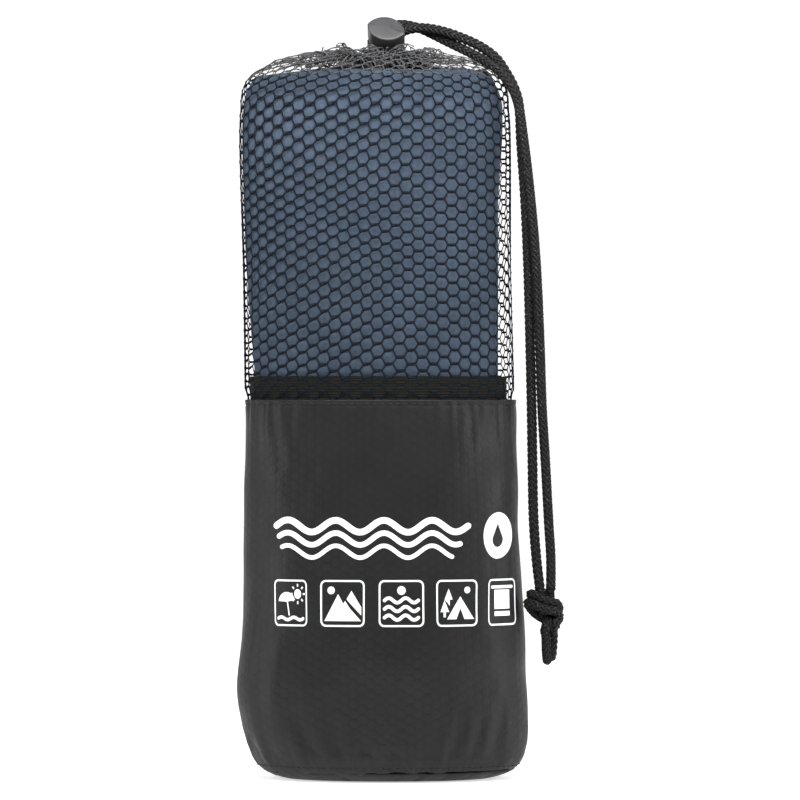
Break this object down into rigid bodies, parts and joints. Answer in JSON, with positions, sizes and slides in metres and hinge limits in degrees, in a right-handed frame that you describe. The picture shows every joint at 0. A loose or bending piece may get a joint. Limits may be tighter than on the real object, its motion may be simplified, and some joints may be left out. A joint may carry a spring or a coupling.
{
  "type": "quick dry towel in a drawstring pouch",
  "caption": "Folded microfibre travel towel in a standing pouch with a nylon pocket, a net sleeve, and a drawcord with a push-button cord lock.",
  "frame": {"origin": "centre of the pouch's footprint on the surface that it stands on", "axes": "+Z from the base up to the neck, -Y out of the printed front, +X to the side where the drawcord hangs"},
  "size_m": [0.126, 0.059, 0.2969],
  "materials": {
    "towel_microfibre": "short suede-like pile",
    "elastic": "ribbed knit",
    "nylon": "satin ripstop with a faint honeycomb",
    "net": "hexagonal warp-knitted net",
    "cord": "round braid",
    "lock_plastic": "satin",
    "spring_steel": "drawn wire",
    "print_ink": "matt screen print"
  },
  "bodies": {
    "pouch": {"towel_bundle": "towel_microfibre", "towel_elastic_band": "elastic", "pocket_wall": "nylon", "pocket_base_panel": "nylon", "pocket_hem": "nylon", "pocket_back_seam": "nylon", "base_seam_binding": "nylon", "net_sleeve": "net", "net_crown": "net", "net_back_seam": "net", "cord_channel": "net", "channel_cord": "cord", "drawcord_strand_left": "cord", "drawcord_strand_right": "cord", "drawcord_knot": "cord", "drawcord_tail_left": "cord", "drawcord_tail_right": "cord", "cord_lock_body": "lock_plastic", "cord_lock_spring": "spring_steel"},
    "lock_button": {"cord_lock_button": "lock_plastic"}
  },
  "joints": [
    {"name": "cord_lock_press", "type": "slide", "parent": "pouch", "child": "lock_button", "axis": [0, 0.848, -0.5299], "range_m": [0, 0.0026], "stiffness_N_per_m": 600, "springref_m": -0.001, "deforming": ["cord_lock_spring"]}
  ]
}
